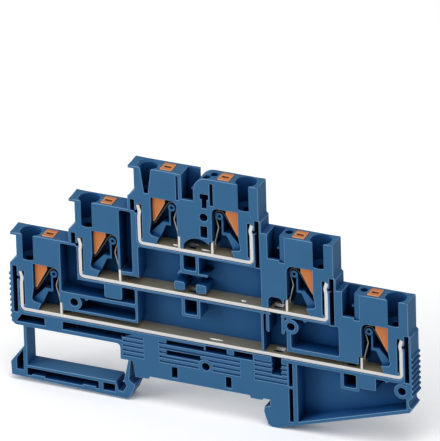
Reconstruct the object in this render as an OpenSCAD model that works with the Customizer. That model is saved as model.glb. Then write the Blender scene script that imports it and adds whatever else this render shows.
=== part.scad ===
// Three-level push-in terminal block for a 35 mm mounting rail.
// X runs along the block, Y along the rail, Z up. The open face looks along -Y.
// The origin is the centre of the rail's seat, in the middle of the block's thickness.

/* [Block] */
// Thickness of the block along the rail
block_t = 5.2; // [5:0.1:6]
// Length of the block left of the rail's middle
left_l = 48.95; // [47:0.05:51]
// Length of the block right of the rail's middle
right_l = 55.2; // [53:0.05:57]
// Length of the block's end beyond the left upright
left_end = 2.75; // [2.5:0.05:3]
// Length of the block's end beyond the right upright
right_end = 2.6; // [2.5:0.05:3]
// Thickness of the closed back wall
web_t = 0.8; // [0.6:0.05:1]
// Thickness of the thin moulded walls and ledges
wall_t = 0.6; // [0.45:0.05:0.8]
// Radius of the corners of pockets and blocks
corner_r = 0.5; // [0.3:0.05:0.6]

/* [Levels] */
// Height of the lowest current bar above the rail
lower_bar_z = 12.95; // [12.5:0.05:14]
// Height from one level to the next
level_h = 12; // [11.8:0.1:13]
// Height of a level's top deck above its own bar
deck_h = 20.7; // [20.4:0.05:21.8]
// Distance of the two upper clamps from the centre
post_x0 = 6.2; // [6:0.1:7]

/* [Clamp cell] */
// Height of the spring post above the bar
post_h = 10.7; // [10.5:0.05:11]
// Radius of the spring post
post_r = 0.95; // [0.8:0.05:1.05]
// Distance from the spring post to the bar's upright end
upright_u = 8.4; // [8.3:0.05:9]
// Distance from a left spring post to its wire entry's axis
left_entry_u = 6.2; // [6.1:0.05:6.3]
// Distance from a right spring post to its wire entry's axis
right_entry_u = 6.7; // [6.5:0.05:6.9]
// Radius of the wire entry
entry_r = 2.6; // [2.5:0.05:2.65]
// Radius of the narrower upper left wire entry
slim_entry_r = 2.15; // [2.1:0.05:2.2]
// Radius of the conductor hole at the bottom of the wire entry
wire_r = 1.05; // [0.8:0.05:1.05]
// Thickness of the front wall over the wire's chamber
land_t = 0.8; // [0.6:0.05:1]
// Thickness of the wall between the button's wedge and the wire
guide_t = 0.4; // [0.3:0.05:0.5]

/* [Current bars] */
// Thickness of the bar's sheet metal
bar_t = 0.9; // [0.7:0.05:1]
// Height of the bar's upright ends above its middle
upright_h = 10.2; // [9.6:0.1:10.4]
// Outer radius of the bends
bend_r = 1.4; // [1.2:0.1:1.8]
// Height of the lugs that hold the springs
lug_h = 3.5; // [3:0.1:3.6]

/* [Springs] */
// Thickness of the spring's leaf
leaf_t = 0.3; // [0.25:0.05:0.35]
// Width of the spring's leaf
leaf_w = 2.9; // [2.4:0.1:3]

/* [Push buttons] */
// Length of the button's head
head_l = 3.1; // [2.9:0.1:3.4]
// Distance that a button travels when it is pressed
button_travel = 1.2; // [0.8:0.1:1.3]
// Height that the head stands above the deck
head_proud = 0.15; // [0.1:0.05:0.4]
// Clearance of the button in its shaft
button_gap = 0.15; // [0.1:0.05:0.2]

/* [Jumper shafts] */
// Distance from a right post inward to its jumper shaft's middle
bridge_u = 4.9; // [4.8:0.05:5]
// Distance of the upper jumper shaft's middle left of the centre
bridge_x0 = 1.6; // [1.5:0.05:1.7]
// Length of a jumper shaft
bridge_l = 3; // [2.6:0.1:3.1]
// Width of the holes in the bars that take a jumper
bridge_hole_w = 2.2; // [1.6:0.1:2.4]

/* [Rail foot] */
// Width of the mounting rail
rail_w = 35; // [34.8:0.1:35.4]
// Thickness of the rail's flange
rail_t = 1; // [0.9:0.05:1.3]
// Depth that the foot reaches below the rail's top
foot_depth = 6.9; // [6.6:0.1:7.2]
// Radius of the peg sockets
socket_r = 1.05; // [0.8:0.05:1.15]

/* [Hidden] */
$fn = 48;
eps = 0.02;
left = -1;
right = 1;
levels = [0, 1, 2];
sides = [left, right];

// Faces across the thickness
front_y = -block_t / 2;
back_y = block_t / 2;
web_y = back_y - web_t;
fit_gap = 0.06;
bar_y0 = front_y + 0.25;
bar_y1 = web_y - fit_gap;
leaf_y1 = web_y - 0.3;
leaf_y0 = leaf_y1 - leaf_w;
button_y1 = web_y - button_gap;
head_y0 = front_y + wall_t + button_gap;
wedge_y0 = head_y0;
rib_y0 = front_y + 1.15;
post_y0 = front_y + 0.9;
groove_y = front_y + 0.35;
step_y = front_y + 0.5;

// Places of the levels and cells
left_step = (left_l - left_end - upright_u - post_x0) / 2;
right_step = (right_l - right_end - upright_u - post_x0) / 2;
function bar_z(i) = lower_bar_z + i * level_h;
function deck_z(i) = bar_z(i) + deck_h;
function post_x(s, i) = s < 0 ? -(post_x0 + (2 - i) * left_step) : post_x0 + (2 - i) * right_step;
function upright_x(s, i) = post_x(s, i) + s * upright_u;
function bridge_x(i) = i == 2 ? -bridge_x0 : post_x(right, i) - bridge_u;
function entry_radius(s, i) = s < 0 && i == 2 ? slim_entry_r : entry_r;
function entry_u(s) = s < 0 ? left_entry_u : right_entry_u;

// Heights and places inside a cell: u outward from the post, h up from the bar's middle
window_in = -1.65;
window_out = 5.1;
window_top = post_h + 2.3;
window_r = 1.6;
bar_top = bar_t / 2;
lug_u = -1.9;
lug_t = 0.6;
lug_room = 0.6;
lug_y0 = bar_y0 + 0.15;
lug_y1 = bar_y1 - 0.6;
chamber_out = upright_u - bar_top - fit_gap;
wire_u = (window_out + guide_t + chamber_out) / 2;
entry_wall_t = 0.35;
entry_y = back_y - entry_wall_t - entry_r;
funnel_h = 0.7;
funnel_floor = 0.3;
funnel_r = wire_r + 0.2;
slot_u = 5.65;
slot_h = 3.3;
slot_foot_u = 4.1;
gusset_in = 3.2;
gusset_h = 2.4;
rib_top_u = 1.75;
rib_top_h = post_h - 4.3;
rib_t = 0.75;
rib_gap = 0.1;
stalk_in = 0.4;
stalk_out = 0.85;
post_hole_r = 0.4;
post_hole_depth = 1;
rim_w = 0.12;
notch_top = 1.4;
notch_foot = 0.5;
notch_h = window_top + 0.9;

// Button profile
head_out = 2.8;
head_in = head_out - head_l;
wedge_in = 1.7;
wedge_out = window_out - button_gap;
wedge_top = window_top - 0.2;
wedge_side_h = 1.25;
wedge_tip_h = post_h - 4.5;
wedge_tip_in = 4.6;
stem_in = 1.2;
head_base = wedge_top + 4.4;
head_top = deck_h + head_proud;
shaft_spare = 0.4;
shaft_step = head_base - button_travel - shaft_spare;
tool_slot_l = 1.8;
tool_slot_w = 0.9;
tool_slot_depth = 0.8;

// Spring path
loop_gap = 0.2;
loop_r = post_r + loop_gap + leaf_t / 2;
loop_start = 205;
leg_gap = 0.1 + leaf_t / 2;
leg_over = 0.35;
leg_reach = norm([wedge_tip_in, wedge_tip_h - post_h]);
leg_lean = acos((loop_r + leg_gap) / leg_reach);
leg_angle = leg_lean + atan2(wedge_tip_h - post_h, wedge_tip_in);
leg_l = leg_reach * sin(leg_lean) + leg_over;
tip_l = 1.5;
tip_angle = -30;
held_u = lug_u + lug_t / 2 + leaf_t / 2 + 0.05;
held_h = 2.4;
held_l = 1.2;
knee_u = -0.4;
knee_h = post_h - 3.2;
knee_rise = 0.6;
knee_in = 0.15;

// Ledges, jumper shafts, sockets and the deck
ledge_t = bar_top + wall_t;
sill_h = window_top + 1.15;
guide_w = 0.8;
socket_depth = 3;
boss_r = socket_r + 0.95;
deck_corner_r = 3.7;
deck_t = 0.7;
test_hole_r = 0.95;
test_hole_u = head_in - 1.5;
test_hole_y = 0.3;
test_hole_depth = 3;
second_hole_in = 1.3;
second_hole_y = -1.4;
step_inset = 0.45;

// Crimped ends of the bars, and the slots beside them behind a thin finger with a notch
crimp_lean = 0.25;
crimp_drop = 1.7;
crimp_foot = 3;
end_gap = 0.5;
end_room = 0.4;
finger_t = 0.45;
finger_u = upright_u + bar_top + fit_gap + finger_t;
finger_notch_h = 0.8;
slot_out = 2.1;
slot_top = upright_h + 1.4;
slot_short = 3;

// Ends and foot
left_x = -left_l;
right_x = right_l;
lip_in = 0.9;
right_lip = 2.1;
hook_x = rail_w / 2;
seat_x = hook_x - 4.1;
seat_relief = 0.7;
beam_z = 8.4;
beam_t = 1;
grip_r = 0.4;
grip_pitch = 1.45;
sole_z = 0.4 - foot_depth;

// Points of an arc about c, from angle a0 to a1
function arc(c, r, a0, a1, n = 8) =
    [for (k = [0 : n]) c + r * [cos(a0 + (a1 - a0) * k / n), sin(a0 + (a1 - a0) * k / n)]];

// Points of a rectangle with round corners
function round_points(x0, z0, x1, z1, r) = concat(
    arc([x1 - r, z1 - r], r, 0, 90, 4), arc([x0 + r, z1 - r], r, 90, 180, 4),
    arc([x0 + r, z0 + r], r, 180, 270, 4), arc([x1 - r, z0 + r], r, 270, 360, 4));

// Unit direction of a path at point k
function path_dir(p, k) = let (d = p[min(k + 1, len(p) - 1)] - p[max(k - 1, 0)]) d / norm(d);

// Outline of a strip of even thickness along a path
function strip(p, t) = concat(
    [for (k = [0 : len(p) - 1]) let (d = path_dir(p, k)) p[k] + t / 2 * [-d[1], d[0]]],
    [for (k = [len(p) - 1 : -1 : 0]) let (d = path_dir(p, k)) p[k] - t / 2 * [-d[1], d[0]]]);

// Middle line of a bar's U section, bent at both corners and crimped at both ends
function bar_path(i, spare = 0) =
    let (l = upright_x(left, i), r = upright_x(right, i), b = bar_z(i), c = bend_r - bar_t / 2,
         top = b + upright_h, k = crimp_lean)
    concat([[l - k, top + spare], [l + k, top - crimp_drop], [l, top - crimp_foot]],
           arc([l + c, b + c], c, 180, 270), arc([r - c, b + c], c, 270, 360),
           [[r, top - crimp_foot], [r - k, top - crimp_drop], [r + k, top + spare]]);

// Spring leaf: held leg, loop round the post, and clamping leg under the wedge with its tip bent to the wire
function spring_path() =
    let (bend = [0, post_h] + loop_r * [cos(leg_angle), sin(leg_angle)]
                + leg_l * [sin(leg_angle), -cos(leg_angle)])
    concat([[held_u, held_h], [held_u, held_h + held_l],
            [knee_u - knee_in, knee_h - knee_rise], [knee_u, knee_h],
            [knee_u - knee_in, knee_h + knee_rise]],
           arc([0, post_h], loop_r, loop_start, leg_angle),
           [bend, bend + tip_l * [cos(tip_angle), sin(tip_angle)]]);

// Peg sockets on the front face: left, right, end, beam and upper
function socket_points() = [
    [post_x(left, 0) + 5.5, bar_z(0) + 4.5], [post_x(right, 1) - 0.9, bar_z(0) + 8.6],
    [upright_x(right, 0) + 0.1, beam_z + 1], [1.8, beam_z - 2.1],
    [post_x(right, 2) - 3.75, bar_z(2) + 10.1]];

// A flat X-Z shape given thickness from y0 to y1
module slab(y0, y1) {
    translate([0, y1, 0])
        rotate([90, 0, 0])
            linear_extrude(y1 - y0)
                children();
}

// A rectangle between two corners
module field(x0, z0, x1, z1) {
    translate([x0, z0])
        square([x1 - x0, z1 - z0]);
}

// A rectangle with round corners
module round_field(x0, z0, x1, z1, r = corner_r) {
    polygon(round_points(x0, z0, x1, z1, r));
}

// A box between two corners
module box(a, b) {
    translate(a)
        cube(b - a);
}

// Puts a flat shape into a cell's own axes
module in_cell_flat(s, i) {
    translate([post_x(s, i), bar_z(i)])
        mirror([s < 0 ? 1 : 0, 0])
            children();
}

// The same for a solid
module in_cell(s, i) {
    translate([post_x(s, i), 0, bar_z(i)])
        mirror([s < 0 ? 1 : 0, 0, 0])
            children();
}

// Round wall about a peg socket
module boss(k) {
    translate(socket_points()[k])
        circle(r = boss_r);
}

// Outer shape of one level, with its lip on the left and a flank outside each upright end
module level_outline(i) {
    l = upright_x(left, i);
    r = upright_x(right, i);
    b = bar_z(i);
    d = deck_z(i);
    flank_z = b - level_h / 3;
    lip_x = l - left_end;
    field(l - lip_in, b, r + right_lip, d);
    field(lip_x + 0.35, d - deck_t, l, d);
    polygon([[lip_x, flank_z], [l, flank_z], [l, b + slot_top + 2.7], [l - lip_in, b + slot_top + 2.7],
             [lip_x, b + slot_top + 0.7]]);
    polygon([[r, flank_z], [r + right_end, flank_z], [r + right_end, b + slot_top - 0.1],
             [r + right_lip, b + slot_top + 0.4], [r, b + slot_top + 0.4]]);
}

// Ribs that give the block's ends a grip, up from height z
module end_ribs(x, z, n) {
    for (k = [0 : n - 1])
        translate([x, z + grip_pitch * k])
            circle(r = grip_r, $fn = 24);
}

// Flexible left foot: toe, sole and the arm with its hook
module left_foot() {
    toe_x = left_x - 0.75;
    arm_x = 0.5 - hook_x;
    claw_z = -rail_t - 1.2;
    polygon([[toe_x + 0.2, sole_z + 0.9], [toe_x, -2.2], [toe_x + 0.35, -1.5], [left_x + 2.9, 2.9],
             [left_x + 2.9, beam_z + beam_t], [arm_x, beam_z + beam_t], [arm_x, 4],
             [-hook_x - 0.95, -rail_t - 0.3], [-hook_x - 0.6, -rail_t - 0.7], [-hook_x + 0.4, claw_z],
             [-hook_x + 0.5, claw_z - 0.6], [-hook_x - 0.7, sole_z + 1.1], [-hook_x - 1.4, sole_z + 0.1],
             [-hook_x - 2.6, sole_z]]);
}

// Fixed foot between the two hooks and out to the right end
module right_foot() {
    pad_x = hook_x - 1.2;
    neck_x = hook_x + 0.85;
    polygon([[-pad_x - 1.1, beam_z + beam_t], [-pad_x - 1.1, 4.2], [-pad_x - 0.5, 0], [-seat_x, 0],
             [-seat_x + 0.4, seat_relief], [seat_x - 0.4, seat_relief], [seat_x, 0], [pad_x, 0],
             [pad_x + 0.3, 0.5], [neck_x, 0.5], [neck_x, -rail_t - 0.2],
             [hook_x - 0.75, -rail_t - 0.75], [hook_x - 0.8, -3.1], [hook_x - 0.3, -4.8],
             [hook_x + 0.3, -foot_depth + 0.6], [hook_x + 1.2, -foot_depth],
             [hook_x + 2.8, -foot_depth + 0.1], [right_x - 0.6, 3.9], [right_x, 5], [right_x - 0.7, 5.6],
             [right_x - 0.9, 7], [right_x, beam_z - 0.4], [right_x, lower_bar_z]]);
}

// Whole outer shape of the moulding
module outline() {
    for (i = levels)
        level_outline(i);
    polygon([[left_x - 0.1, beam_z + 0.9], [left_x + 0.9, beam_z], [right_x, beam_z],
             [right_x, lower_bar_z], [left_x, lower_bar_z]]);
    left_foot();
    right_foot();
    end_ribs(left_x, beam_z + 2.2, 9);
    end_ribs(right_x, beam_z, 8);
}

// Window of a clamp cell
module window_shape() {
    polygon(concat([[lug_u - lug_room, bar_top], [lug_u - lug_room, lug_h + 0.2], [window_in, lug_h + 0.5]],
                   arc([window_in + window_r, window_top - window_r], window_r, 180, 90),
                   [[window_out, window_top], [window_out, rib_top_h], [slot_u, slot_h],
                    [slot_u - 0.45, slot_h - 0.6], [gusset_in, gusset_h], [slot_foot_u, bar_top]]));
}

// Diagonal rib that widens down to the bar, and the stalk that carries the post
module rib_shape() {
    polygon([[stalk_in, rib_top_h], [rib_top_u + rib_t, rib_top_h], [slot_u - 0.15, slot_h - 0.1],
             [slot_u - 0.2, slot_h - 0.9], [slot_foot_u + 0.4, bar_top + rib_gap],
             [slot_foot_u - 0.1, bar_top + rib_gap], [rib_top_u - 0.1, rib_top_h - rib_t],
             [stalk_in, rib_top_h - rib_t]]);
    field(stalk_in, rib_top_h - eps, stalk_out, post_h);
}

// Room that a bar takes in the housing
module bar_room(i) {
    polygon(strip(bar_path(i, fit_gap), bar_t + 2 * fit_gap));
}

// Walls that guide a jumper's leg below bar k, with or without a floor
module jumper_guide(i, k, floored) {
    x = bridge_x(i);
    z = bar_z(k);
    w = bridge_l / 2 + 0.1;
    depth = 5;
    difference() {
        round_field(x - w - guide_w, z - depth - guide_w, x + w + guide_w, z + 1);
        round_field(x - w, z - depth - (floored ? 0 : 2 * guide_w), x + w, z + 2);
    }
}

// Small round nub below a ledge
module nub(x, z) {
    translate([x, z])
        circle(r = 0.45, $fn = 24);
}

// Pockets between the left clamps
module left_pockets() {
    x0 = post_x(left, 0) - window_in + wall_t;
    x1 = upright_x(left, 1) - bar_top - wall_t / 2;
    x2 = upright_x(left, 2) - 1 - wall_t;
    x3 = post_x(left, 1) - window_in + wall_t;
    b0 = bar_z(0);
    b1 = bar_z(1);
    shelf_z0 = b0 + 6;
    shelf_z1 = shelf_z0 + 0.95;
    block_x = post_x(left, 1) + 0.1;
    block_w = 2.3;
    difference() {
        union() {
            round_field(x0, shelf_z1, x1, deck_z(0) - deck_t);
            round_field(x0, shelf_z1, x2, b1 - ledge_t);
        }
        round_field(block_x - block_w, shelf_z1 + 0.5, block_x + block_w, b1);
        boss(0);
    }
    difference() {
        round_field(socket_points()[0][0], b0 + 2.55, x2, shelf_z0);
        boss(0);
        nub(socket_points()[0][0] + 3.3, shelf_z0);
    }
    field(x0, b0, x2 + wall_t, b0 + 1.9);
    round_field(x3, b1 + 3.5, x2 - 0.4, deck_z(1) - deck_t);
    field(x3, b1, x2 + 2 * wall_t, b1 + 2.6);
}

// Pockets in the middle, below the middle and upper bars
module centre_pockets() {
    x0 = upright_x(left, 2) - 1;
    x1 = upright_x(right, 2) + 2;
    gx = bridge_x(2);
    b0 = bar_z(0);
    b1 = bar_z(1);
    b2 = bar_z(2);
    shelf_z = b2 - 6.1;
    shelf_l = 7.5;
    shelf_t = 0.6;
    knob_z = b1 + 1.2;
    knob_h = 2.3;
    knob_l = 2.7;
    knob_gap = 2.9;
    difference() {
        round_field(x0, b0, x1, b1 - ledge_t);
        jumper_guide(2, 1, true);
    }
    difference() {
        round_field(x0 + wall_t, b1, x1 + wall_t / 2, b2 - ledge_t);
        jumper_guide(2, 2, true);
        field(gx - knob_gap, shelf_z, gx - knob_gap + shelf_l, shelf_z + shelf_t);
        for (x = [gx - knob_gap / 2 - knob_l, gx + knob_gap / 2])
            round_field(x, knob_z, x + knob_l, knob_z + knob_h);
    }
}

// Pockets between the right clamps
module right_pockets() {
    x0 = upright_x(right, 2) + 2 + wall_t;
    r1 = post_x(right, 1);
    r0 = post_x(right, 0);
    b0 = bar_z(0);
    b1 = bar_z(1);
    arch_r = 1.2;
    difference() {
        round_field(x0, b0, r1 - 2, b1 - ledge_t);
        jumper_guide(1, 1, false);
        boss(1);
    }
    difference() {
        round_field(r1 - 0.9, b0 + 2.9, r0 - 7.5, b1 - ledge_t);
        boss(1);
        nub(r1 + 2.8, b1 - ledge_t);
    }
    field(r1 - 2.5, b0, r0 + lug_u, b0 + 1.75);
    round_field(bridge_x(1) - 1.7, b1 - arch_r, bridge_x(1) + 2, b1 + 3.9, arch_r);
    field(bridge_x(1), b1, r1 + lug_u, b1 + 2.6);
}

// Slot, jumper key, recess and arch in the land between the two upper clamps
module upper_marks() {
    x = post_x(right, 2);
    b = bar_z(2);
    arch_x = 0.7;
    arch_r = 4.25;
    arch_l = 7.5;
    arch_drop = 0.2;
    groove_x = x - 2;
    groove_l = 0.8;
    groove_roof = 1.2;
    key_x = x - 3.5;
    key_z = b + 15;
    key_l = 2.2;
    key_h = 1.4;
    key_stem_l = 1.3;
    key_stem_h = 2.4;
    recess_x = x - 4.7;
    recess_z = b + 4.6;
    recess_l = 1.8;
    recess_h = 3.1;
    field(groove_x, b + window_top + wall_t, groove_x + groove_l, deck_z(2) - groove_roof);
    field(key_x - key_l / 2, key_z, key_x + key_l / 2, key_z + key_h);
    field(key_x - key_stem_l / 2, key_z - key_stem_h, key_x + key_stem_l / 2, key_z + eps);
    round_field(recess_x, recess_z, recess_x + recess_l, recess_z + recess_h, corner_r / 2);
    intersection() {
        translate([arch_x, b - arch_drop])
            circle(r = arch_r);
        field(arch_x - arch_l / 2, b, arch_x + arch_l / 2, b + arch_r);
    }
}

// Room inside and above the bars' upright ends, slots outside them, and notches in the fingers between
module end_slots() {
    notch_z = upright_h - crimp_drop - finger_notch_h / 2;
    for (s = sides)
        for (i = levels)
            in_cell_flat(s, i) {
                field(finger_u, s < 0 && i > 0 ? slot_top - slot_short : -1, upright_u + slot_out, slot_top);
                field(upright_u, notch_z, finger_u + eps, notch_z + finger_notch_h);
                field(upright_u - bar_top - end_gap, bend_r, upright_u, upright_h + end_room);
            }
}

// Pockets of the beam under the lowest bar, of the sole and of the right end
module foot_pockets() {
    b0 = bar_z(0);
    z0 = beam_z + beam_t;
    z1 = b0 - ledge_t - 0.4;
    x0 = post_x(left, 0);
    r0 = post_x(right, 0);
    arm_x = -hook_x - 2.5;
    end_x = hook_x + 8.1;
    slit_x = hook_x + 5.9;
    slit_w = 1;
    slit_foot = -4.5;
    slit_bar_z = 4.5;
    slit_bar_t = 0.7;
    bay_x = -8.4;
    bay_foot = beam_z + 2;
    bay_top = z1 + 0.6;
    mark_z = 1.7;
    mark_h = 2.9;
    mark_l = 1.5;
    toe_x = left_x + 2.65;
    polygon([[left_x + 1.2, z0], [x0 - 2.5, z0], [x0 - 2.5, z1], [left_x + 2.6, z1]]);
    polygon([[x0 + 2.2, z0], [arm_x, z0], [arm_x, z0 + 0.8], [arm_x + 2.8, z1], [x0 + 2.2, z1]]);
    difference() {
        polygon([[end_x, -4.2], [right_x - 1.4, 4.7], [right_x - 1.4, z1], [end_x, z1]]);
        jumper_guide(0, 0, true);
        round_field(r0 - 2.9, beam_z - 0.2, r0 + 1.8, b0);
        nub(r0 + 4.6, z1);
        boss(2);
    }
    field(slit_x, slit_foot, slit_x + slit_w, slit_bar_z);
    field(slit_x, slit_bar_z + slit_bar_t, slit_x + slit_w, z1);
    field(bridge_x(1) - 1.3, beam_z - 0.8, bridge_x(1) + 1.3, b0);
    field(bay_x, beam_z - 0.8, bay_x + 8.8, beam_z + 0.6);
    field(bay_x, bay_foot, bay_x + 9.8, z1 + 0.2);
    field(bay_x + 10.2, bay_foot, bay_x + 15.8, bay_top);
    field(bay_x + 17.6, bay_foot, bay_x + 22.6, bay_top);
    for (x = [-7.2, 6.9])
        field(x, mark_z, x + mark_l, mark_z + mark_h);
    difference() {
        polygon([[toe_x + 0.9, sole_z + 1.5], [-hook_x - 9.1, sole_z + 1.3],
                 [-hook_x - 9.1, sole_z + 3.3], [toe_x + 0.9, sole_z + 3.5]]);
        field(toe_x + 2.1, sole_z, toe_x + 5.5, sole_z + 1.85);
        field(-hook_x - 13.4, sole_z, -hook_x - 9.8, sole_z + 1.75);
    }
    field(-hook_x - 7.9, sole_z + 1.3, -hook_x - 4.8, sole_z + 3.3);
    polygon([[toe_x - 1.8, -3.8], [toe_x, -3.8], [toe_x, 1.8], [toe_x - 1.8, -0.9]]);
}

// The opening right through the left foot, with the slit beside the hook's arm
module foot_window() {
    x0 = left_x + 3.65;
    x1 = -hook_x - 3.1;
    z0 = sole_z + 4.2;
    corner = 1;
    polygon(concat([[x0, z0], [x1 - 1.4, z0], [x1 - 0.8, z0 - 2.3], [x1 + 0.4, z0 - 2.5],
                    [x1 + 1.4, z0 - 0.7], [x1 + 0.7, z0 + 0.5], [x1 + 2, 4.2], [x1, 4.2]],
                   arc([x1 - corner, beam_z - corner - 0.1], corner, 0, 90),
                   [[x0, beam_z - 0.1]]));
    polygon([[-hook_x - 0.4, 4.2], [-hook_x + 0.1, 4.2], [-hook_x + 0.5, 0], [-hook_x + 0.3, -1],
             [-hook_x - 1, -1]]);
}

// Fine grooves across the middle of the foot
module foot_grooves() {
    groove_w = 0.5;
    groove_pitch = 1.25;
    difference() {
        for (k = [0 : 4])
            translate([0, beam_z - 3 + groove_pitch * k])
                field(-hook_x - 2.3, 0, hook_x + 5.5, groove_w);
        field(-14.4, 0, -10.3, bar_z(0));
        field(10.8, 0, 14.6, bar_z(0));
        boss(3);
    }
}

// Jumper shafts, open at the deck and, above their sill, at the front, each with a small catch
module jumper_shafts() {
    catch_l = 0.7;
    catch_h = 17;
    for (i = levels) {
        x = bridge_x(i);
        b = bar_z(i);
        difference() {
            union() {
                slab(front_y - eps, web_y)
                    field(x - bridge_l / 2, b + sill_h, x + bridge_l / 2, deck_z(i) + 1);
                box([x - bridge_l / 2, front_y + land_t, b], [x + bridge_l / 2, web_y, deck_z(i)]);
            }
            box([x + bridge_l / 2 - catch_l, front_y + wall_t, b + catch_h],
                [x + bridge_l, web_y + 1, b + catch_h + catch_l / 2]);
        }
    }
}

// Round test openings in the deck beside the right buttons
module test_openings() {
    for (i = levels)
        in_cell(right, i) {
            translate([test_hole_u, test_hole_y, deck_h - test_hole_depth])
                cylinder(r = test_hole_r, h = 2 * test_hole_depth);
            if (i == 2)
                translate([test_hole_u - second_hole_in, second_hole_y, deck_h - test_hole_depth])
                    cylinder(r = test_hole_r, h = 2 * test_hole_depth);
        }
}

// Sockets in the front face
module sockets() {
    for (p = socket_points())
        translate([p[0], front_y - eps, p[1]])
            rotate([-90, 0, 0])
                cylinder(r = socket_r, h = socket_depth);
}

// Rounded corner of the right half of the upper deck
module deck_corner() {
    x = bridge_x(2) + bridge_l / 2;
    d = deck_z(2);
    difference() {
        field(x - eps, d - deck_corner_r, x + deck_corner_r, d + eps);
        translate([x + deck_corner_r, d - deck_corner_r])
            circle(r = deck_corner_r);
    }
}

// Steps along the inner edges of the cells' front panels
module panel_steps() {
    for (i = [0, 1])
        in_cell(right, i)
            slab(front_y - eps, step_y)
                field(-bridge_u + bridge_l / 2 - eps, window_top + wall_t,
                      window_in - step_inset, deck_h + eps);
    in_cell(left, 2)
        slab(front_y - eps, step_y)
            field(window_in - wall_t, window_top + wall_t, window_in, deck_h - deck_t);
}

// Wire entry: rim, bore, funnel and the conductor's hole, and the front notch of a narrow one
module wire_entry(s, i) {
    r = entry_radius(s, i);
    u = entry_u(s);
    rim_h = entry_r + rim_w - r;
    translate([u, entry_y, window_top + funnel_floor]) {
        cylinder(r1 = funnel_r, r2 = r, h = funnel_h);
        translate([0, 0, funnel_h])
            cylinder(r = r, h = deck_h);
    }
    translate([u, entry_y, deck_h - rim_h])
        cylinder(r1 = r, r2 = entry_r + rim_w + eps, h = rim_h + eps);
    translate([wire_u, entry_y, window_top - eps])
        cylinder(r = wire_r, h = funnel_floor + funnel_h);
    if (r < entry_y - front_y)
        slab(front_y - eps, entry_y)
            polygon([[u - notch_foot, notch_h], [u + notch_foot, notch_h],
                     [u + notch_top, deck_h + eps], [u - notch_top, deck_h + eps]]);
}

// Cuts of one clamp cell: window, wire chamber, wire entry and button shaft
module cell_cuts(s, i) {
    slab(front_y - eps, web_y)
        window_shape();
    box([window_out - eps, front_y + land_t, bar_top], [chamber_out, web_y, rib_top_h]);
    box([window_out + guide_t, front_y + land_t, bar_top], [chamber_out, web_y, window_top]);
    wire_entry(s, i);
    box([stem_in - button_gap, wedge_y0 - button_gap, window_top - eps],
        [head_out + button_gap, web_y, deck_h + 1]);
    box([head_in - button_gap, head_y0 - button_gap, shaft_step],
        [head_out + button_gap, web_y, deck_h + 1]);
}

// Post, stalk and rib that stand on the back wall inside a window
module cell_inside() {
    slab(rib_y0, web_y + eps)
        rib_shape();
    translate([0, web_y + eps, post_h])
        rotate([90, 0, 0])
            difference() {
                cylinder(r = post_r, h = web_y + eps - post_y0);
                translate([0, 0, web_y + eps - post_y0 - post_hole_depth])
                    cylinder(r = post_hole_r, h = 2 * post_hole_depth);
            }
}

// The moulded housing
module housing() {
    color("steelblue")
        union() {
            difference() {
                slab(front_y, back_y)
                    outline();
                slab(front_y - eps, web_y) {
                    left_pockets();
                    centre_pockets();
                    right_pockets();
                    upper_marks();
                    end_slots();
                    foot_pockets();
                    for (i = levels)
                        bar_room(i);
                }
                slab(front_y - eps, groove_y)
                    foot_grooves();
                slab(front_y - eps, back_y + eps) {
                    foot_window();
                    deck_corner();
                }
                for (s = sides)
                    for (i = levels)
                        in_cell(s, i)
                            cell_cuts(s, i);
                jumper_shafts();
                test_openings();
                sockets();
                panel_steps();
            }
            for (s = sides)
                for (i = levels)
                    in_cell(s, i)
                        cell_inside();
        }
}

// Punched holes of a bar, under its own jumper shaft and the next level's
module bar_holes(i) {
    for (j = [i : min(i + 1, 2)])
        translate([bridge_x(j), (bar_y0 + bar_y1) / 2, bar_z(i)])
            cube([bridge_l - 0.6, bridge_hole_w, 2 * bar_t], center = true);
}

// One current bar: a U of sheet metal with lugs for the springs
module bar(i) {
    color("gainsboro")
        union() {
            difference() {
                slab(bar_y0, bar_y1)
                    polygon(strip(bar_path(i), bar_t));
                bar_holes(i);
            }
            for (s = sides)
                in_cell(s, i)
                    box([lug_u - lug_t / 2, lug_y0, 0], [lug_u + lug_t / 2, lug_y1, lug_h]);
        }
}

// One clamping spring
module spring(s, i) {
    color("dimgray")
        in_cell(s, i)
            slab(leaf_y0, leaf_y1)
                polygon(strip(spring_path(), leaf_t));
}

// Push button: head with a tool slot, stem and wedge
module button(s, i) {
    head_u = (head_in + head_out) / 2;
    head_y = (head_y0 + button_y1) / 2;
    color("darkorange")
        in_cell(s, i)
            difference() {
                union() {
                    slab(wedge_y0, button_y1)
                        polygon([[wedge_in, wedge_top], [wedge_in, wedge_top - wedge_side_h],
                                 [wedge_tip_in, wedge_tip_h], [wedge_out, wedge_tip_h],
                                 [wedge_out, wedge_top]]);
                    box([stem_in, wedge_y0, wedge_top - eps], [head_out, button_y1, head_base + eps]);
                    box([head_in, head_y0, head_base], [head_out, button_y1, head_top]);
                }
                box([head_u - tool_slot_l / 2, head_y - tool_slot_w / 2, head_top - tool_slot_depth],
                    [head_u + tool_slot_l / 2, head_y + tool_slot_w / 2, head_top + 1]);
            }
}

housing();
bar(0);  // lower_bar
bar(1);  // middle_bar
bar(2);  // upper_bar
spring(left, 0);  // lower_left_spring
spring(right, 0);  // lower_right_spring
spring(left, 1);  // middle_left_spring
spring(right, 1);  // middle_right_spring
spring(left, 2);  // upper_left_spring
spring(right, 2);  // upper_right_spring
button(left, 0);  // lower_left_button
button(right, 0);  // lower_right_button
button(left, 1);  // middle_left_button
button(right, 1);  // middle_right_button
button(left, 2);  // upper_left_button
button(right, 2);  // upper_right_button
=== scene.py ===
"""Looks of a slim three-level push-in terminal block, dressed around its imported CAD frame."""
import math

import bmesh
import bpy
import numpy as np
from mathutils import Matrix, Vector
from mathutils.geometry import delaunay_2d_cdt


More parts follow.
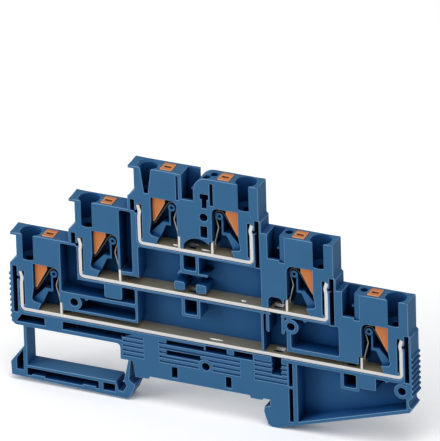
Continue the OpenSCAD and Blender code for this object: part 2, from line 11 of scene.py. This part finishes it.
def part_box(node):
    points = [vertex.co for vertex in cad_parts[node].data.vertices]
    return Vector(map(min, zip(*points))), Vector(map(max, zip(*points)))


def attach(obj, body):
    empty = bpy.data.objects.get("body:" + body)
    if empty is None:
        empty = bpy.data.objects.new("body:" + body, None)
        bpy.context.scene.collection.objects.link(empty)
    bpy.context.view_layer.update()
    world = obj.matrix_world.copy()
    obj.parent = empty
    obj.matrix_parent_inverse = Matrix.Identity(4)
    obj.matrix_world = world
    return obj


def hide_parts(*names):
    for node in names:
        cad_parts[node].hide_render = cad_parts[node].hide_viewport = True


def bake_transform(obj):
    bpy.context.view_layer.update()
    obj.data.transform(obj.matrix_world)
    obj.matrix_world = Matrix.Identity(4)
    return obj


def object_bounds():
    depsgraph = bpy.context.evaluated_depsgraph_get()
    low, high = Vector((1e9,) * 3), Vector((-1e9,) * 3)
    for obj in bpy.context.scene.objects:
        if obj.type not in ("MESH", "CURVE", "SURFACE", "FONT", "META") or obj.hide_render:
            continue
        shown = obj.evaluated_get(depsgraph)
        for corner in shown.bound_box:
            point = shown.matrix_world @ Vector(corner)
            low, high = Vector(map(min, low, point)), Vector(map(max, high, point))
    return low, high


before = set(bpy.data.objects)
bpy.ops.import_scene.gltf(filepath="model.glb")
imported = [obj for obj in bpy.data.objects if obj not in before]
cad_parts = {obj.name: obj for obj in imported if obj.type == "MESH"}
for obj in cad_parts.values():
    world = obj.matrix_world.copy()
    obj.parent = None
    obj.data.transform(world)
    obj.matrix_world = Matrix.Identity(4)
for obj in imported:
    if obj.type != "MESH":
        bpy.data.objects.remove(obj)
cad_low, cad_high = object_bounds()

# Sizes and places are in millimetres and angles in degrees, unless a comment says otherwise
MM = 0.001
LEVELS = ("lower", "middle", "upper")
SIDES = {"left": -1, "right": 1}

# The open face and the back lie this far from the middle of the block's thickness
HALF_THICKNESS = 2.6
# The upper clamps' spring posts stand this far from the block's middle, and each level below steps outward
UPPER_POST_X, POST_STEP = 6.2, {"left": 15.8, "right": 19.0}
# Height of the lower bar's middle, step from level to level, and a bar's upper face over its middle
LOWER_BAR_Z, LEVEL_STEP, BAR_TOP = 12.95, 12.0, 0.45

# How far the edges of each piece are cut back where they are rounded
HOUSING_CORNER, HOUSING_RIM = 0.12, 0.14
BAR_EDGE, SPRING_EDGE, BUTTON_EDGE = 0.07, 0.05, 0.18
# Points nearer than this are one, edges that turn by an angle in this range are rounded, and those that
# turn by more than the last angle are shaded sharp
MERGED, ROUNDED_FROM, ROUNDED_TO, SHARP_FROM = 0.002, 35, 115, 20
# An edge runs along the thickness, and a triangle faces out of a flat side, from these cosines on
ALONG_COSINE, FACING_COSINE = 0.999, 0.99
# Tolerances of a flat side: distance from its plane, distance of drawn points, least length of a normal
FLAT_WITHIN, DRAWN_WITHIN, LEAST_LENGTH = 1e-4, 1e-6, 1e-12
# The least divisor at a rim's sharp corner, and how unlike two walls have to be to count as two
LEAST_MEET, WALLS_UNLIKE = 0.4, 0.1

# A spring's held leg gets a painted highlight inward of this place beside its post and below this height
# over the bar's middle, and the highlight comes on over these lengths
HELD_OUT, HELD_TOP = -0.2, 9.4
HELD_FADE_IN, HELD_FADE_DOWN = 0.3, 0.8

# Low pressed pips on the bars' upper faces, painted bright as glints: x and y of the middle, half of the
# length
BAR_PIPS = {"lower": ((4.1, -0.9, 1.8),),
            "middle": ((11.6, -0.95, 0.7),),
            "upper": ((-5.5, -1.1, 0.9), (2.2, -0.95, 1.3))}
PIP_HALF_WIDTH, PIP_HEIGHT, PIP_SINK = 0.33, 0.25, 0.03
PIP_RINGS, PIP_SIDES = 6, 20
# A pip's painted highlight is over 1, so that its sloping front, which faces the thickness only in part, is
# painted bright too
PIP_HIGHLIGHT = 3.0

# Moulded plastic: size of the clouds, size and height of the grain, and how far off the walls count that
# cast a recess's painted shade
CLOUD, GRAIN, GRAIN_HEIGHT, RECESS_SHADE_REACH = 7.0, 0.25, 0.02, 10.0
# Openness, from 0 to 1, over which the painted shade of a pit turns into that of a recess, and that of a
# recess into an open face's own colour
PIT_OPENNESS, RECESS_OPENNESS = (0.09, 0.48), (0.3, 1.0)
# Least and most of the painted highlight's paler colour on a rounded edge
LEAST_HIGHLIGHT, MOST_HIGHLIGHT = 0.3, 0.9
# How far the grain changes the roughness to either side, and the strength of its relief
GLOSS_SPREAD, GRAIN_STRENGTH = 0.06, 0.12
# Polyamide's index of refraction, and the level of its sheen, matched to the dull surface of the real one
POLYAMIDE_IOR, SHEEN_LEVEL = 1.53, 0.04

# Sheet metal: size of the stains and their share of the face's brightness
STAIN, STAIN_LEVEL = 5.0, 0.82
# Scale of a rolling streak along the strip, as a share of that across it, its height and its strength
STREAK_STRETCH, STREAK_HEIGHT, STREAK_STRENGTH = 0.06, 0.01, 0.15
# Share of the normal along the thickness over which a broad face turns into a sheared edge
SHEARED_FROM, SHEARED_TO = 0.55, 0.8

# A Mix node's colour output
MIXED = 2


def linear(colour):
    """An sRGB hex colour as linear RGBA: a channel c becomes c / 12.92 where it is dark, and otherwise
    ((c + 0.055) / 1.055) to the power of 2.4."""
    c = np.array([int(colour[k:k + 2], 16) for k in (1, 3, 5)]) / 255
    return tuple(np.where(c <= 0.04045, c / 12.92, ((c + 0.055) / 1.055) ** 2.4)) + (1.0,)


def add_node(tree, kind, values=None, links=None, **settings):
    """Adds one node, sets its properties and its sockets' values, and links other nodes' outputs to its
    sockets."""
    node = tree.nodes.new(kind)
    for key, value in settings.items():
        setattr(node, key, value)
    for key, value in (values or {}).items():
        node.inputs[key].default_value = value
    for key, output in (links or {}).items():
        tree.links.new(output, node.inputs[key])
    return node


def new_material(name):
    """An empty node material with its output node."""
    material = bpy.data.materials.new(name)
    material.use_nodes = True
    material.node_tree.nodes.clear()
    return material, material.node_tree, add_node(material.node_tree, "ShaderNodeOutputMaterial")


def per_metre(size):
    """Noise scale that gives features of about this size in millimetres."""
    return 1 / (size * MM)


def moulded_plastic(name, body, shade, edge, recess_shade, pit_shade, roughness, shaded_by_own_walls):
    """Injection-moulded polyamide: an even satin colour, faint clouds where the melt cooled unevenly, a
    painted highlight in a paler colour on the marked rounded edges, patchy from cloud to cloud, painted
    shade down in the recesses, where less light reaches, a deeper colour there and nearly black in the
    narrowest pits, and the fine grain of the eroded mould. The real grain is near 0.05 mm, so it is drawn
    coarser to show. When only the piece's own walls count, only they cast this painted shade, so that what
    it stands on leaves its colour alone."""
    material, tree, output = new_material(name)
    place = add_node(tree, "ShaderNodeTexCoord").outputs["Object"]
    cloud = add_node(tree, "ShaderNodeTexNoise",
                     {"Scale": per_metre(CLOUD), "Detail": 3.0, "Roughness": 0.6}, {"Vector": place})
    grain = add_node(tree, "ShaderNodeTexNoise",
                     {"Scale": per_metre(GRAIN), "Detail": 2.0}, {"Vector": place})
    clouded = add_node(tree, "ShaderNodeMix", {"A": linear(body), "B": linear(shade)},
                       {"Factor": cloud.outputs["Fac"]}, data_type="RGBA")
    # Painted highlight: a paler colour on the marked rounded edges, patchy from cloud to cloud
    painted_highlight = add_node(tree, "ShaderNodeAttribute", attribute_name="painted_highlight")
    patchy_highlight = add_node(tree, "ShaderNodeMapRange", {"To Min": LEAST_HIGHLIGHT, "To Max": MOST_HIGHLIGHT},
                      {"Value": cloud.outputs["Fac"]})
    highlight = add_node(tree, "ShaderNodeMath", None, {0: painted_highlight.outputs["Fac"], 1: patchy_highlight.outputs["Result"]},
                      operation="MULTIPLY")
    highlighted = add_node(tree, "ShaderNodeMix", {"B": linear(edge)},
                     {"A": clouded.outputs[MIXED], "Factor": highlight.outputs[0]}, data_type="RGBA")
    # Painted shade: the fewer open directions a point has, the deeper and darker its colour, nearly black in
    # pits
    openness = add_node(tree, "ShaderNodeAmbientOcclusion", {"Distance": RECESS_SHADE_REACH * MM}, samples=8,
                        only_local=shaded_by_own_walls)
    out_of_pit_shade = add_node(tree, "ShaderNodeMapRange",
                         {"From Min": PIT_OPENNESS[0], "From Max": PIT_OPENNESS[1]},
                         {"Value": openness.outputs["AO"]})
    painted_depth_shade = add_node(tree, "ShaderNodeMix", {"A": linear(pit_shade), "B": linear(recess_shade)},
                      {"Factor": out_of_pit_shade.outputs["Result"]}, data_type="RGBA")
    out_of_recess_shade = add_node(tree, "ShaderNodeMapRange",
                            {"From Min": RECESS_OPENNESS[0], "From Max": RECESS_OPENNESS[1]},
                            {"Value": openness.outputs["AO"]})
    colour = add_node(tree, "ShaderNodeMix", None,
                      {"A": painted_depth_shade.outputs[MIXED], "B": highlighted.outputs[MIXED],
                       "Factor": out_of_recess_shade.outputs["Result"]}, data_type="RGBA")
    gloss = add_node(tree, "ShaderNodeMapRange",
                     {"To Min": roughness - GLOSS_SPREAD, "To Max": roughness + GLOSS_SPREAD},
                     {"Value": grain.outputs["Fac"]})
    bump = add_node(tree, "ShaderNodeBump", {"Strength": GRAIN_STRENGTH, "Distance": GRAIN_HEIGHT * MM},
                    {"Height": grain.outputs["Fac"]})
    shader = add_node(tree, "ShaderNodeBsdfPrincipled",
                      {"IOR": POLYAMIDE_IOR, "Specular IOR Level": SHEEN_LEVEL},
                      {"Base Color": colour.outputs[MIXED], "Roughness": gloss.outputs["Result"],
                       "Normal": bump.outputs["Normal"]})
    tree.links.new(shader.outputs["BSDF"], output.inputs["Surface"])
    return material


def sheet_metal(name, face, edge, highlight, metallic, face_roughness, edge_roughness, streak_width):
    """Rolled and blanked strip: the eye sees faint stains and fine rolling streaks along the strip on its
    broad faces, sheared edges of their own colour where the normal points along the block's thickness, and a
    painted highlight, a brighter colour on the marked faces as far as they face along the thickness."""
    material, tree, output = new_material(name)
    coords = add_node(tree, "ShaderNodeTexCoord")
    normal = add_node(tree, "ShaderNodeSeparateXYZ", None, {"Vector": coords.outputs["Normal"]})
    sideways = add_node(tree, "ShaderNodeMath", None, {0: normal.outputs["Y"]}, operation="ABSOLUTE")
    sheared = add_node(tree, "ShaderNodeMapRange", {"From Min": SHEARED_FROM, "From Max": SHEARED_TO},
                       {"Value": sideways.outputs[0]})
    stretched = add_node(tree, "ShaderNodeMapping", {"Scale": (STREAK_STRETCH, 1.0, STREAK_STRETCH)},
                         {"Vector": coords.outputs["Object"]})
    streak = add_node(tree, "ShaderNodeTexNoise", {"Scale": per_metre(streak_width), "Detail": 3.0},
                      {"Vector": stretched.outputs["Vector"]})
    stain = add_node(tree, "ShaderNodeTexNoise", {"Scale": per_metre(STAIN), "Detail": 2.0},
                     {"Vector": coords.outputs["Object"]})
    stained = tuple(STAIN_LEVEL * c for c in linear(face)[:3]) + (1.0,)
    broad = add_node(tree, "ShaderNodeMix", {"A": linear(face), "B": stained},
                     {"Factor": stain.outputs["Fac"]}, data_type="RGBA")
    blanked = add_node(tree, "ShaderNodeMix", {"B": linear(edge)},
                       {"A": broad.outputs[MIXED], "Factor": sheared.outputs["Result"]}, data_type="RGBA")
    # Painted highlight: a brighter colour on marked faces, as far as they face along the thickness
    painted_highlight = add_node(tree, "ShaderNodeAttribute", attribute_name="painted_highlight")
    painted_shine = add_node(tree, "ShaderNodeMath", None, {0: painted_highlight.outputs["Fac"], 1: sideways.outputs[0]},
                    operation="MULTIPLY")
    colour = add_node(tree, "ShaderNodeMix", {"B": linear(highlight)},
                      {"A": blanked.outputs[MIXED], "Factor": painted_shine.outputs[0]}, data_type="RGBA")
    rough = add_node(tree, "ShaderNodeMapRange", {"To Min": face_roughness, "To Max": edge_roughness},
                     {"Value": sheared.outputs["Result"]})
    relief = add_node(tree, "ShaderNodeMapRange", {"To Min": STREAK_STRENGTH, "To Max": 0.0},
                      {"Value": sheared.outputs["Result"]})
    bump = add_node(tree, "ShaderNodeBump", {"Distance": STREAK_HEIGHT * MM},
                    {"Height": streak.outputs["Fac"], "Strength": relief.outputs["Result"]})
    shader = add_node(tree, "ShaderNodeBsdfPrincipled", {"Metallic": metallic},
                      {"Base Color": colour.outputs[MIXED], "Roughness": rough.outputs["Result"],
                       "Normal": bump.outputs["Normal"]})
    tree.links.new(shader.outputs["BSDF"], output.inputs["Surface"])
    return material


def along_thickness(edge):
    """True for an edge that runs along the block's thickness."""
    run = edge.verts[1].co - edge.verts[0].co
    return abs(run.y) > ALONG_COSINE * run.length


def rounded_node(node, radius, chosen=lambda edge: True):
    """A CAD node's points in millimetres and its triangles, merged at their doubles, with each chosen convex
    edge that is neither too blunt nor too sharp cut back by the radius and turned in two steps; and, for a
    painted highlight, 1 for each triangle of such an edge, 0 for the others."""
    bm = bmesh.new()
    bm.from_mesh(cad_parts[node].data)
    bmesh.ops.scale(bm, vec=(1 / MM,) * 3, verts=bm.verts)
    bmesh.ops.remove_doubles(bm, verts=bm.verts, dist=MERGED)
    least, most = math.radians(ROUNDED_FROM), math.radians(ROUNDED_TO)
    sharp = [e for e in bm.edges if e.is_convex and least < e.calc_face_angle(0) < most and chosen(e)]
    painted_highlight = bm.faces.layers.float.new("painted_highlight")
    cut = bmesh.ops.bevel(bm, geom=sharp, offset=radius, offset_type="OFFSET", segments=2, profile=0.5,
                          affect="EDGES", clamp_overlap=False, loop_slide=False)
    for face in cut["faces"]:
        face[painted_highlight] = 1.0
    bmesh.ops.triangulate(bm, faces=bm.faces)
    bm.verts.index_update()
    points = np.array([v.co for v in bm.verts], float)
    triangles = np.array([[v.index for v in f.verts] for f in bm.faces])
    highlight_marks = np.array([f[painted_highlight] for f in bm.faces])
    bm.free()
    return points, triangles, highlight_marks


def flat_side(points, triangles, y, normal):
    """Which triangles lie flat at y, the rim edges that only one of these has, and for each rim edge the
    facing of the wall beside it, which has the same edge the other way round. An edge's number is that of
    its first point times the count of points, plus that of its second."""
    first, second, third = (points[triangles[:, k]] for k in range(3))
    facing = np.cross(second - first, third - first)
    facing /= np.maximum(np.linalg.norm(facing, axis=1, keepdims=True), LEAST_LENGTH)
    in_plane = (np.abs(points[triangles, 1] - y) < FLAT_WITHIN).all(axis=1)
    flat = in_plane & (facing @ normal > FACING_COSINE)
    inside, outside = (np.concatenate([t[:, [0, 1]], t[:, [1, 2]], t[:, [2, 0]]])
                       for t in (triangles[flat], triangles[~flat]))
    numbering = np.array([len(points), 1])
    rim = inside[~np.isin(inside[:, ::-1] @ numbering, inside @ numbering)]
    order = np.argsort(outside @ numbering)
    beside = order[np.searchsorted(outside @ numbering, rim[:, ::-1] @ numbering, sorter=order)]
    return flat, rim, facing[~flat][beside % np.count_nonzero(~flat)]


def rim_steps(points, rim, wall, normal, width):
    """The two steps of each rim point: in the flat side by the sum of its two edges' inward normals a + b,
    times width / (1 + a.b), and down its walls by the shortest step that lies in both walls and drops by
    width. A point where the rim touches itself takes none."""
    along = points[rim[:, 1]] - points[rim[:, 0]]
    along /= np.linalg.norm(along, axis=1, keepdims=True)
    inward = np.cross(normal, along)
    edge_into = np.zeros(len(points), int)
    edge_into[rim[:, 1]] = np.arange(len(rim))
    before = edge_into[rim[:, 0]]
    meet = 1 + (inward[before] * inward).sum(axis=1, keepdims=True)
    step_in = width * (inward[before] + inward) / np.maximum(meet, LEAST_MEET)
    planes = np.stack([wall[before], wall, np.tile(normal, (len(rim), 1))], axis=1)
    step_down = np.linalg.pinv(planes, rcond=WALLS_UNLIKE) @ np.array([0.0, 0.0, -width])
    single = (np.bincount(rim[:, 0])[rim[:, 0]] == 1)[:, None]
    return step_in * single, step_down * single


def filled_rim(drawn, start, end):
    """Corners and faces of a constrained Delaunay triangulation of the drawn rim, with the rim points that
    each corner comes from. A face stays where the rim winds round its centre: to the right of the centre
    more edges rise past its height than fall."""
    corners, _, faces, sources, _, _ = delaunay_2d_cdt(
        [Vector(p) for p in drawn], np.stack([start, end], axis=1).tolist(), [], 0, DRAWN_WITHIN)
    corners, faces = np.array(corners), np.array(faces)
    across, height = (corners[faces].mean(axis=1)[:, [k]] for k in range(2))
    tail, head = drawn[start], drawn[end]
    run = head - tail
    lies = run[:, 0] * (height - tail[:, 1]) - run[:, 1] * (across - tail[:, 0])
    rising = (tail[:, 1] <= height) & (head[:, 1] > height) & (lies > 0)
    falling = (tail[:, 1] > height) & (head[:, 1] <= height) & (lies < 0)
    return corners, faces[rising.sum(axis=1) > falling.sum(axis=1)], sources


def ease_rim(points, triangles, highlight_marks, y, outward, width):
    """Rounds the whole rim of the flat side at y in two steps. The side ends at the rim's inner points and
    is filled again from them, the walls end at its lowered points, and between them lies a point at the
    middle of the quarter circle, 1 - sqrt(1/2) of both steps from the old rim. The triangles of the turn are
    marked 1, for a painted highlight."""
    normal = np.array([0.0, outward, 0.0])
    flat, rim, wall = flat_side(points, triangles, y, normal)
    step_in, step_down = rim_steps(points, rim, wall, normal, width)
    corner, count = rim[:, 0], len(points)
    inner = points[corner] + step_in
    middle = points[corner] + (1 - math.sqrt(0.5)) * (step_in + step_down)
    moved = points.copy()
    moved[corner] = points[corner] + step_down
    order_of = np.zeros(count, int)
    order_of[corner] = np.arange(len(rim))
    start, end = order_of[rim[:, 0]], order_of[rim[:, 1]]
    drawn, faces, sources = filled_rim(inner[:, [0, 2]] * (-outward, 1), start, end)
    crossing = [k for k, source in enumerate(sources) if not source]
    index = np.array([count + source[0] if source else 0 for source in sources])
    index[crossing] = count + 2 * len(rim) + np.arange(len(crossing))
    added = np.stack([drawn[crossing, 0] * -outward, np.full(len(crossing), y), drawn[crossing, 1]],
                     axis=1)
    inner_start, inner_end = count + start, count + end
    middle_start, middle_end = inner_start + len(rim), inner_end + len(rim)
    turn = [(inner_end, inner_start, middle_start), (inner_end, middle_start, middle_end),
            (middle_end, middle_start, rim[:, 0]), (middle_end, rim[:, 0], rim[:, 1])]
    return (np.vstack([moved, inner, middle, added]),
            np.vstack([triangles[~flat], index[faces]] + [np.stack(t, axis=1) for t in turn]),
            np.concatenate([highlight_marks[~flat], np.zeros(len(faces)), np.ones(len(turn) * len(rim))]))


def pressed_pip(x, y, top, half_length):
    """A low closed ridge about (x, y, top): half an ellipsoid, whose rings at the lift a have the radii of
    its ellipse times cos(a) and the height times sin(a), with a tip above and a flat base sunk a little
    below top."""
    lift, turn = (grid.ravel() for grid in np.meshgrid(
        np.arange(PIP_RINGS) * math.pi / 2 / PIP_RINGS, np.arange(PIP_SIDES) * 2 * math.pi / PIP_SIDES,
        indexing="ij"))
    foot = top - PIP_SINK
    rings = np.stack([x + half_length * np.cos(lift) * np.cos(turn),
                      y + PIP_HALF_WIDTH * np.cos(lift) * np.sin(turn),
                      foot + PIP_HEIGHT * np.sin(lift)], axis=1)
    index = np.arange(PIP_RINGS * PIP_SIDES).reshape(PIP_RINGS, PIP_SIDES)
    ahead = np.roll(index, -1, axis=1)
    tip, base = np.full(PIP_SIDES, index.size), np.full(PIP_SIDES, index.size + 1)
    below, below_ahead, above, above_ahead = (
        rows.ravel() for rows in (index[:-1], ahead[:-1], index[1:], ahead[1:]))
    strips = [(below, below_ahead, above_ahead), (below, above_ahead, above), (index[-1], ahead[-1], tip),
              (ahead[0], index[0], base)]
    return (np.vstack([rings, (x, y, foot + PIP_HEIGHT), (x, y, foot)]),
            np.vstack([np.stack(s, axis=1) for s in strips]))


def put_piece(piece, points, triangles, highlight_marks, node, material, slot):
    """A mesh object of the points, given in millimetres and kept in the node's box, that stands for the
    node. The marks of its faces that get a painted highlight go with it for its material."""
    low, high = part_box(node)
    mesh = bpy.data.meshes.new(piece)
    mesh.from_pydata(np.clip(points * MM, low, high), [], triangles)
    mesh.attributes.new("painted_highlight", "FLOAT", "FACE").data.foreach_set("value", highlight_marks)
    mesh.shade_smooth()
    mesh.set_sharp_from_angle(angle=math.radians(SHARP_FROM))
    mesh.materials.append(material)
    mesh.validate()
    made = bpy.data.objects.new(piece, mesh)
    bpy.context.scene.collection.objects.link(made)
    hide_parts(node)
    return made


# Moulded polyamide, blue: satin housing, with a painted highlight on its rounded edges and painted shade in
# its recesses
housing_blue = moulded_plastic("blue_moulded_polyamide", body="#39668d", shade="#336087",
                               edge="#82a8cc", recess_shade="#063d79", pit_shade="#05192f", roughness=0.5,
                               shaded_by_own_walls=True)
# Moulded polyamide, orange: satin push buttons, with a painted highlight on their rounded edges and painted
# shade in their recesses
button_orange = moulded_plastic("orange_moulded_polyamide", body="#c67d4c", shade="#c07545",
                                edge="#f0c4a0", recess_shade="#b86636", pit_shade="#2a1206", roughness=0.5,
                                shaded_by_own_walls=False)
# Tin-plated copper strip: warm grey faces, bright blanked edges, a painted highlight on the rounded edges
# and the pips
tinned_copper = sheet_metal("tin_plated_copper", face="#afa58b", edge="#d0cfcd", highlight="#d9d9d7",
                            metallic=0.55, face_roughness=0.45, edge_roughness=0.42, streak_width=0.12)
# Spring steel strip: dark tempered faces and edges, with a painted highlight on the held leg
spring_steel = sheet_metal("tempered_spring_steel", face="#343436", edge="#45433f", highlight="#96928e",
                           metallic=1.0, face_roughness=0.34, edge_roughness=0.4, streak_width=0.08)

# The housing: corners along its thickness first, then the whole rim of its open face and of its back
shell = rounded_node("housing", HOUSING_CORNER, along_thickness)
for outward in (-1, 1):
    shell = ease_rim(*shell, outward * HALF_THICKNESS, outward, HOUSING_RIM)
housing = put_piece("housing_rounded", *shell, "housing", housing_blue, "housing")
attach(housing, "block")

for steps_up, level in enumerate(LEVELS):
    bar_z = LOWER_BAR_Z + steps_up * LEVEL_STEP

    # A level's current bar with its pips, which get a painted highlight
    points, triangles, highlight_marks = rounded_node(f"{level}_bar", BAR_EDGE)
    for x, y, half_length in BAR_PIPS[level]:
        pip, faces = pressed_pip(x, y, bar_z + BAR_TOP, half_length)
        triangles = np.vstack([triangles, faces + len(points)])
        points = np.vstack([points, pip])
        highlight_marks = np.append(highlight_marks, np.full(len(faces), PIP_HIGHLIGHT))
    bar = put_piece(f"{level}_bar_rounded", points, triangles, highlight_marks, f"{level}_bar", tinned_copper,
                    "current_bar")
    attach(bar, "block")

    for side, sign in SIDES.items():
        cell = f"{level}_{side}"
        post = sign * (UPPER_POST_X + (len(LEVELS) - 1 - steps_up) * POST_STEP[side])

        # A cell's push button
        button = put_piece(f"{cell}_button_rounded", *rounded_node(f"{cell}_button", BUTTON_EDGE),
                           f"{cell}_button", button_orange, "button")
        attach(button, f"{cell}_button")

        # A cell's spring, with a painted highlight on its held leg only
        points, triangles, _ = rounded_node(f"{cell}_spring", SPRING_EDGE)
        centre = points[triangles].mean(axis=1)
        inward = (HELD_OUT - sign * (centre[:, 0] - post)) / HELD_FADE_IN
        below = (bar_z + HELD_TOP - centre[:, 2]) / HELD_FADE_DOWN
        highlight_marks = np.clip(np.minimum(inward, below), 0, 1)
        leaf = put_piece(f"{cell}_spring_rounded", points, triangles, highlight_marks, f"{cell}_spring",
                         spring_steel, "spring")
        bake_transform(leaf)

# Floor and sky: how pale each is where it lights the object, and how white it looks to the camera and in
# reflections
FLOOR_PALE, FLOOR_WHITE = 0.9, 1.22
SKY_LIGHT, SKY_WHITE = 0.42, 1.0
# Half of the floor's sides, each lamp's distance from the block and its size, in metres
FLOOR_HALF, LAMP_DISTANCE, LAMP_SIZE = 3, 1.2, 0.7


def background_rays(tree):
    """1 for rays from the camera and for reflected and refracted ones, which show the white background."""
    rays = add_node(tree, "ShaderNodeLightPath")
    shiny = add_node(tree, "ShaderNodeMath", None,
                     {0: rays.outputs["Is Camera Ray"], 1: rays.outputs["Is Glossy Ray"]},
                     operation="MAXIMUM")
    clear = add_node(tree, "ShaderNodeMath", None,
                     {0: shiny.outputs[0], 1: rays.outputs["Is Transmission Ray"]},
                     operation="MAXIMUM")
    return clear.outputs[0]


def softbox(name, direction, watts):
    """A square area lamp in a direction from the block's middle, facing it."""
    lamp = bpy.data.lights.new(name, "AREA")
    lamp.shape = "SQUARE"
    lamp.size = LAMP_SIZE
    lamp.energy = watts
    holder = bpy.data.objects.new(name, lamp)
    toward = Vector(direction).normalized()
    holder.location = (cad_low + cad_high) / 2 + toward * LAMP_DISTANCE
    holder.rotation_mode = "QUATERNION"
    holder.rotation_quaternion = (-toward).to_track_quat("-Z", "Y")
    bpy.context.scene.collection.objects.link(holder)


# Floor: plain pale sheet that goes to white in the picture and keeps the soft shadow
floor_white, floor_tree, floor_output = new_material("pale_floor")
pale = add_node(floor_tree, "ShaderNodeMapRange", {"To Min": FLOOR_PALE, "To Max": FLOOR_WHITE},
                {"Value": background_rays(floor_tree)})
matt = add_node(floor_tree, "ShaderNodeBsdfDiffuse", None, {"Color": pale.outputs["Result"]})
floor_tree.links.new(matt.outputs["BSDF"], floor_output.inputs["Surface"])
floor_mesh = bpy.data.meshes.new("floor")
floor_corners = [(x * FLOOR_HALF, y * FLOOR_HALF, cad_low.z)
                 for x, y in ((-1, -1), (1, -1), (1, 1), (-1, 1))]
floor_mesh.from_pydata(floor_corners, [], [(0, 1, 2, 3)])
floor_mesh.materials.append(floor_white)
floor = bpy.data.objects.new("floor", floor_mesh)
bpy.context.scene.collection.objects.link(floor)

# World: soft even light, white where the camera and shiny surfaces look past the floor
world = bpy.data.worlds.new("studio")
bpy.context.scene.world = world
world.use_nodes = True
sky = world.node_tree
sky.nodes.clear()
strength = add_node(sky, "ShaderNodeMapRange", {"To Min": SKY_LIGHT, "To Max": SKY_WHITE},
                    {"Value": background_rays(sky)})
background = add_node(sky, "ShaderNodeBackground", {"Color": (1.0, 1.0, 1.0, 1.0)},
                      {"Strength": strength.outputs["Result"]})
add_node(sky, "ShaderNodeOutputWorld", None, {"Surface": background.outputs["Background"]})

# Lamps: the stronger one from the left in front of the open face, the weaker one from above
softbox("key_softbox", (-1.0, -0.75, 0.4), watts=8.6)
softbox("top_softbox", (0.2, -0.3, 1.0), watts=5.5)

# Camera: the photograph's viewing angle with its small roll, from a distance in metres, aimed at a point
# in the plane of the open face
AZIMUTH, ELEVATION, ROLL = (math.radians(angle) for angle in (24.125, 28.356, -1.802))
DISTANCE, LENS, SENSOR_WIDTH = 3.0, 1030.0, 36.0
AIM = Vector((6.746, -HALF_THICKNESS, 47.109)) * MM
back = Vector((math.sin(AZIMUTH) * math.cos(ELEVATION), -math.cos(AZIMUTH) * math.cos(ELEVATION),
               math.sin(ELEVATION)))
right = Vector((math.cos(AZIMUTH), math.sin(AZIMUTH), 0.0))
up = back.cross(right)
rolled_right = math.cos(ROLL) * right + math.sin(ROLL) * up
rolled_up = math.cos(ROLL) * up - math.sin(ROLL) * right
camera_data = bpy.data.cameras.new("camera")
camera_data.sensor_width = SENSOR_WIDTH
camera_data.lens = LENS
camera_data.clip_start, camera_data.clip_end = 0.1, 20.0
camera = bpy.data.objects.new("camera", camera_data)
rotation = Matrix((rolled_right, rolled_up, back)).transposed().to_4x4()
camera.matrix_world = Matrix.Translation(AIM + back * DISTANCE) @ rotation
bpy.context.scene.collection.objects.link(camera)
bpy.context.scene.camera = camera

bpy.context.scene.view_settings.view_transform = "Standard"
